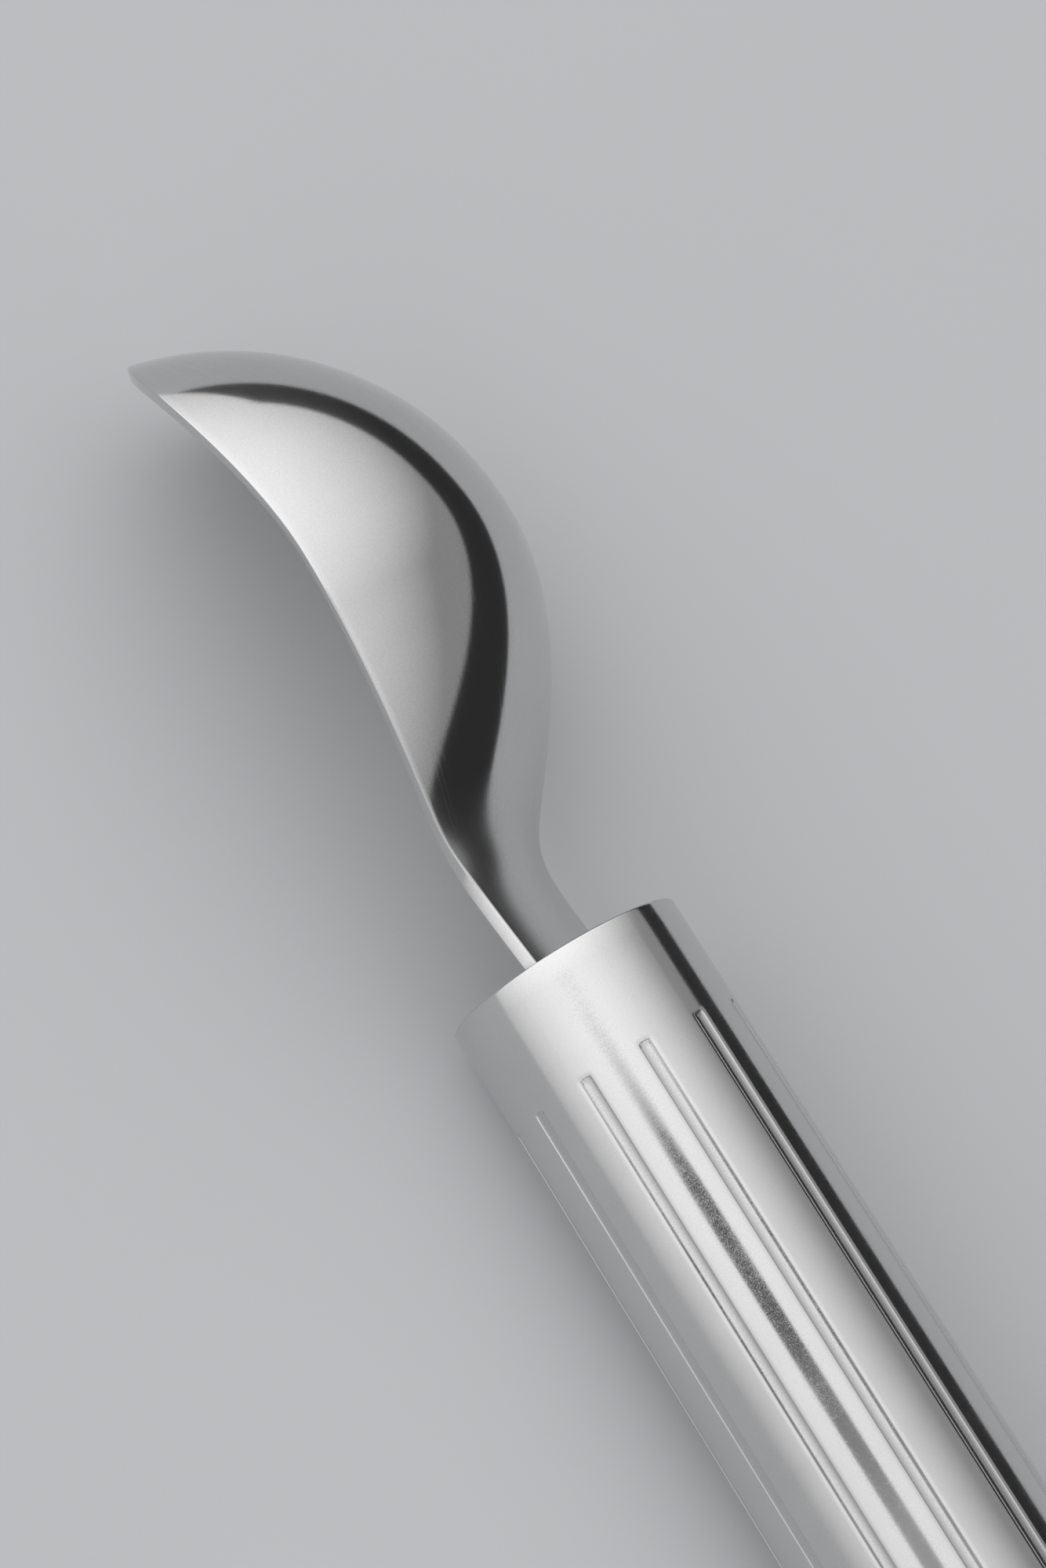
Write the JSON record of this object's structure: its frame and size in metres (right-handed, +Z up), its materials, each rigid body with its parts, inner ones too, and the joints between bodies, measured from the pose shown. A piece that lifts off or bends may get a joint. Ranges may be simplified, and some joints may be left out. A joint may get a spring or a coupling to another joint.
{
  "type": "ice cream scoop",
  "caption": "Fixed ice cream scoop: a deep pressed steel bowl with a swept rim and short neck, held in a thick round tube handle with lengthwise grooves.",
  "frame": {"origin": "centre of the bounding box's underside, on the table that the scoop lies on", "axes": "+X along the handle's axis from the bowl to the end cap, +Z up from the table, +Y the side that the bowl's back leans to"},
  "size_m": [0.195, 0.0368, 0.0374],
  "materials": {
    "bowl_steel": "satin, with fine polishing lines",
    "handle_steel": "satin, finely brushed round the tube",
    "plug_steel": "turned",
    "pin_steel": "ground",
    "core_plastic": "moulded"
  },
  "bodies": {
    "root": {"scoop_bowl": "bowl_steel", "handle_tube": "handle_steel", "front_plug": "plug_steel", "end_cap": "handle_steel", "tang_core_back": "core_plastic", "tang_core_front": "core_plastic", "tang_pin_1": "pin_steel", "tang_pin_2": "pin_steel"}
  },
  "joints": []
}
